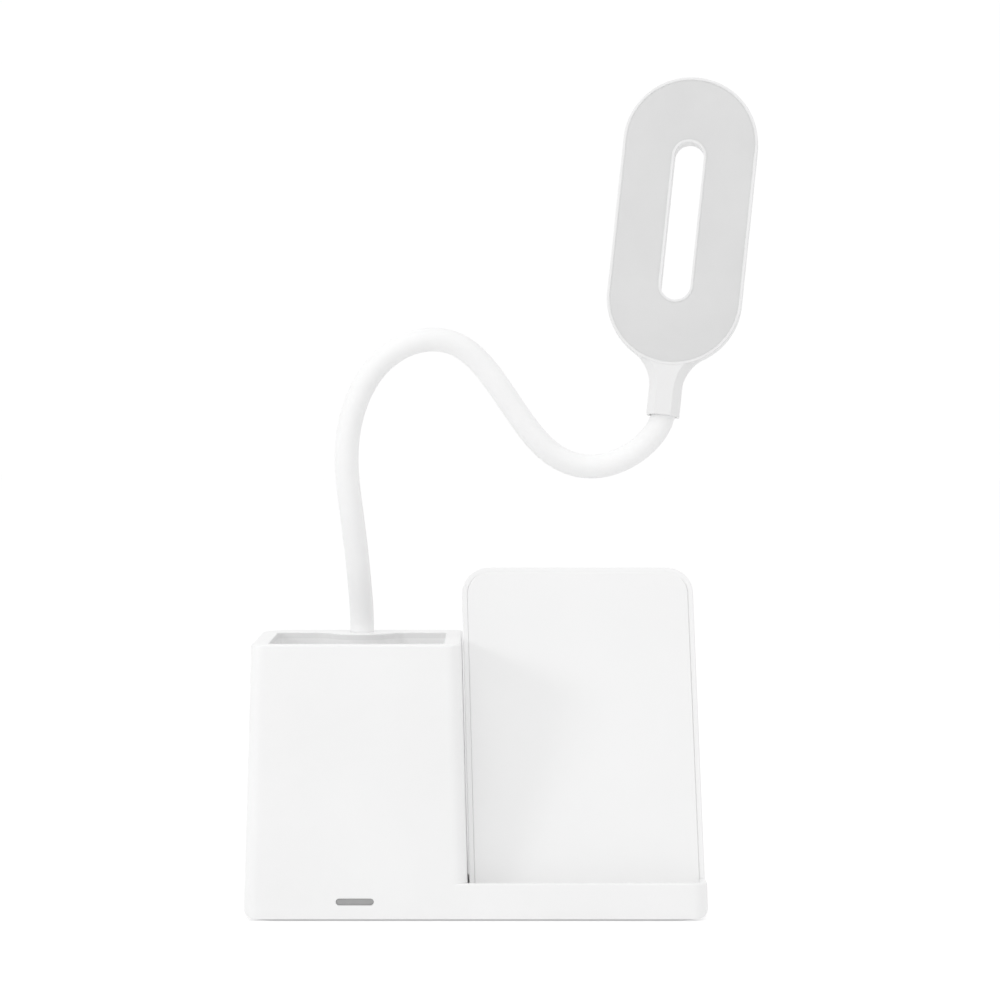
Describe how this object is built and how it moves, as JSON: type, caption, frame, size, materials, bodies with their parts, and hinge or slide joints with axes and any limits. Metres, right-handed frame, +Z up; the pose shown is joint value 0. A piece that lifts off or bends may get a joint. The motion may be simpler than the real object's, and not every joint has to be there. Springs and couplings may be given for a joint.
{
  "type": "desk lamp with pen box and phone rest",
  "caption": "White gooseneck reading light on a base with an open pen box and a leaning phone rest with a ledge, a grey touch window in front and a flat slotted head.",
  "frame": {"origin": "on the desk, under the middle of the base", "axes": "+X to the right seen from the front, +Y to the back, +Z up; millimetres in the source, metres here"},
  "size_m": [0.211, 0.096, 0.3425],
  "materials": {
    "shell_white": "white, smooth satin mould finish",
    "panel_white": "white, a little smoother than the frame around it",
    "diffuser_grey": "milky light grey, unlit",
    "silicone_white": "white silicone, soft sheen",
    "hose_steel": "wound spring steel",
    "pad_grey": "matt grey",
    "weight_steel": "plain cut plate",
    "fitting_steel": "turned, nickel plated",
    "screw_steel": "zinc plated",
    "board_green": "solder mask",
    "board_white": "white solder mask",
    "parts_black": "moulded components",
    "window_grey": "mid grey lens, slight gloss",
    "foam_grey": "conductive foam",
    "coil_copper": null,
    "ferrite_dark": "dark grey ferrite",
    "carrier_plastic": "plain grey",
    "led_yellow": "phosphor",
    "lead_black": "soft jacket"
  },
  "bodies": {
    "base": {"anti_slip_pad": "pad_grey", "base_housing": "shell_white", "board_parts": "parts_black", "board_screws": "screw_steel", "bottom_cover": "shell_white", "bottom_screws": "screw_steel", "charger_board": "board_green", "charger_lead": "lead_black", "charger_panel": "panel_white", "charger_parts": "parts_black", "charging_coil": "coil_copper", "coil_carrier": "carrier_plastic", "counterweight": "weight_steel", "ferrite_sheet": "ferrite_dark", "hose_root": "hose_steel", "hose_socket": "fitting_steel", "lamp_lead": "lead_black", "main_board": "board_green", "pen_cup_liner": "shell_white", "rest_back_cover": "shell_white", "rest_frame": "shell_white", "rest_screws": "screw_steel", "sleeve_root": "silicone_white", "socket_nut": "fitting_steel", "touch_board": "board_green", "touch_contact": "foam_grey", "touch_window": "window_grey", "usb_socket": "fitting_steel", "usb_tongue": "parts_black"},
    "link_01": {"hose_link_01": "hose_steel", "sleeve_link_01": "silicone_white"},
    "link_02": {"hose_link_02": "hose_steel", "sleeve_link_02": "silicone_white"},
    "link_03": {"hose_link_03": "hose_steel", "sleeve_link_03": "silicone_white"},
    "link_04": {"hose_link_04": "hose_steel", "sleeve_link_04": "silicone_white"},
    "link_05": {"hose_link_05": "hose_steel", "sleeve_link_05": "silicone_white"},
    "link_06": {"hose_link_06": "hose_steel", "sleeve_link_06": "silicone_white"},
    "link_07": {"hose_link_07": "hose_steel", "sleeve_link_07": "silicone_white"},
    "link_08": {"hose_link_08": "hose_steel", "sleeve_link_08": "silicone_white"},
    "link_09": {"hose_link_09": "hose_steel", "sleeve_link_09": "silicone_white"},
    "link_10": {"hose_link_10": "hose_steel", "sleeve_link_10": "silicone_white"},
    "link_11": {"hose_link_11": "hose_steel", "sleeve_link_11": "silicone_white"},
    "head": {"diffuser": "diffuser_grey", "head_screws": "screw_steel", "head_shell": "shell_white", "hose_tip": "hose_steel", "led_board": "board_white", "led_chips": "led_yellow", "neck_ferrule": "fitting_steel", "neck_screw": "screw_steel", "sleeve_tip": "silicone_white"}
  },
  "joints": [
    {"name": "gooseneck_01_lean", "type": "hinge", "parent": "base", "child": "link_01", "pos_m": [-0.0482, 0.03, 0.117], "axis": [0.9986, 0, 0.0523], "range_deg": [-10, 10]},
    {"name": "gooseneck_02_sway", "type": "hinge", "parent": "link_01", "child": "link_02", "pos_m": [-0.05017, 0.03, 0.14072], "axis": [0, 1, 0], "range_deg": [-12, 2]},
    {"name": "gooseneck_03_lean", "type": "hinge", "parent": "link_02", "child": "link_03", "pos_m": [-0.05307, 0.03, 0.16435], "axis": [0.9903, 0, 0.1392], "range_deg": [-10, 10]},
    {"name": "gooseneck_04_sway", "type": "hinge", "parent": "link_03", "child": "link_04", "pos_m": [-0.05432, 0.03, 0.18808], "axis": [0, 1, 0], "range_deg": [-12, 2]},
    {"name": "gooseneck_05_sway", "type": "hinge", "parent": "link_04", "child": "link_05", "pos_m": [-0.04839, 0.03, 0.21099], "axis": [0, 1, 0], "range_deg": [-12, 2]},
    {"name": "gooseneck_06_sway", "type": "hinge", "parent": "link_05", "child": "link_06", "pos_m": [-0.03273, 0.03, 0.2284], "axis": [0, 1, 0], "range_deg": [-12, 2]},
    {"name": "gooseneck_07_reach", "type": "hinge", "parent": "link_06", "child": "link_07", "pos_m": [-0.00981, 0.03, 0.23083], "axis": [0, 1, 0], "range_deg": [-9, 9]},
    {"name": "gooseneck_08_nod", "type": "hinge", "parent": "link_07", "child": "link_08", "pos_m": [0.00755, 0.03, 0.21504], "axis": [0.8192, 0, 0.5736], "range_deg": [-12, 18]},
    {"name": "gooseneck_09_reach", "type": "hinge", "parent": "link_08", "child": "link_09", "pos_m": [0.02112, 0.03, 0.19548], "axis": [0, 1, 0], "range_deg": [-9, 9]},
    {"name": "gooseneck_10_reach", "type": "hinge", "parent": "link_09", "child": "link_10", "pos_m": [0.03926, 0.03, 0.18065], "axis": [0, 1, 0], "range_deg": [-9, 9]},
    {"name": "gooseneck_11_reach", "type": "hinge", "parent": "link_10", "child": "link_11", "pos_m": [0.06225, 0.03, 0.18307], "axis": [0, 1, 0], "range_deg": [-9, 9]},
    {"name": "gooseneck_12_nod", "type": "hinge", "parent": "link_11", "child": "head", "pos_m": [0.0777, 0.03, 0.20036], "axis": [0.9613, 0, -0.2756], "range_deg": [-12, 18]}
  ],
  "couplings": [
    {"joint": "gooseneck_03_lean", "follows": "gooseneck_01_lean", "ratio": 1},
    {"joint": "gooseneck_04_sway", "follows": "gooseneck_02_sway", "ratio": 1},
    {"joint": "gooseneck_05_sway", "follows": "gooseneck_02_sway", "ratio": 1},
    {"joint": "gooseneck_06_sway", "follows": "gooseneck_02_sway", "ratio": 1},
    {"joint": "gooseneck_09_reach", "follows": "gooseneck_07_reach", "ratio": 1},
    {"joint": "gooseneck_10_reach", "follows": "gooseneck_07_reach", "ratio": 1},
    {"joint": "gooseneck_11_reach", "follows": "gooseneck_07_reach", "ratio": 1},
    {"joint": "gooseneck_12_nod", "follows": "gooseneck_08_nod", "ratio": 1}
  ]
}
